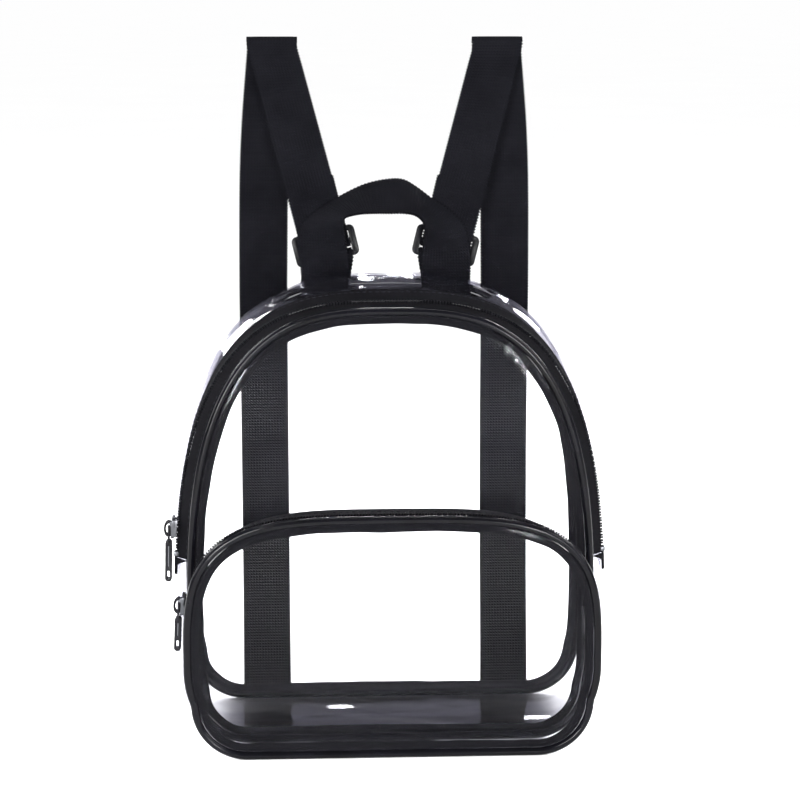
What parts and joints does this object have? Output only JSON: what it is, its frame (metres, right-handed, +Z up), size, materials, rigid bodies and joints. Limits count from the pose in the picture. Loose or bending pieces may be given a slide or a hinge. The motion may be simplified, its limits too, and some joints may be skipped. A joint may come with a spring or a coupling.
{
  "type": "clear stadium backpack",
  "caption": "Small clear vinyl backpack with a zipped arch-top main bag, a zipped front pocket, black piping, a webbing grab handle and webbing shoulder straps, held up by its straps.",
  "frame": {"origin": "between the two shoulder straps, under the folds at the top of their loops, where the bag hangs", "axes": "+Z up, +Y towards the wearer's back, +X to the right seen from the front"},
  "size_m": [0.2216, 0.1158, 0.3496],
  "materials": {
    "clear_vinyl": "clear glossy vinyl film, faint lilac-grey tint",
    "piping": "glossy black vinyl bead",
    "zip_tape": "black woven zip tape and seam binding",
    "zip_teeth": "black coil teeth",
    "webbing": "black woven webbing with fine cross ribs",
    "dark_metal": "black and dark grey enamelled zip hardware",
    "black_plastic": "moulded black plastic"
  },
  "bodies": {
    "bag": {"main_front_panel": "clear_vinyl", "back_panel": "clear_vinyl", "top_gusset": "clear_vinyl", "bottom_gusset": "clear_vinyl", "pocket_panel": "clear_vinyl", "pocket_gusset": "clear_vinyl", "main_front_piping": "piping", "back_piping": "piping", "pocket_piping": "piping", "main_front_binding": "zip_tape", "back_binding": "zip_tape", "pocket_binding": "zip_tape", "main_zip_tape_front": "zip_tape", "main_zip_tape_rear": "zip_tape", "main_zip_end_left": "zip_tape", "main_zip_end_right": "zip_tape", "pocket_zip_tape_front": "zip_tape", "pocket_zip_tape_rear": "zip_tape", "pocket_zip_end_left": "zip_tape", "pocket_zip_end_right": "zip_tape", "main_zip_teeth": "zip_teeth", "pocket_zip_teeth": "zip_teeth", "main_zip_slider": "dark_metal", "pocket_zip_slider": "dark_metal", "grab_handle": "webbing", "anchor_tab_left": "webbing", "anchor_tab_right": "webbing", "shoulder_strap_left": "webbing", "shoulder_strap_right": "webbing", "strap_slider_left": "black_plastic", "strap_slider_right": "black_plastic"},
    "main_pull": {"main_zip_pull": "dark_metal"},
    "pocket_pull": {"pocket_zip_pull": "dark_metal"}
  },
  "joints": [
    {"name": "main_pull_swing", "type": "hinge", "parent": "bag", "child": "main_pull", "pos_m": [-0.1106, -0.0647, -0.23806], "axis": [0, 1, 0], "range_deg": [0, 150]},
    {"name": "pocket_pull_swing", "type": "hinge", "parent": "bag", "child": "pocket_pull", "pos_m": [-0.10506, -0.0887, -0.27083], "axis": [0, 1, 0], "range_deg": [0, 150]}
  ]
}
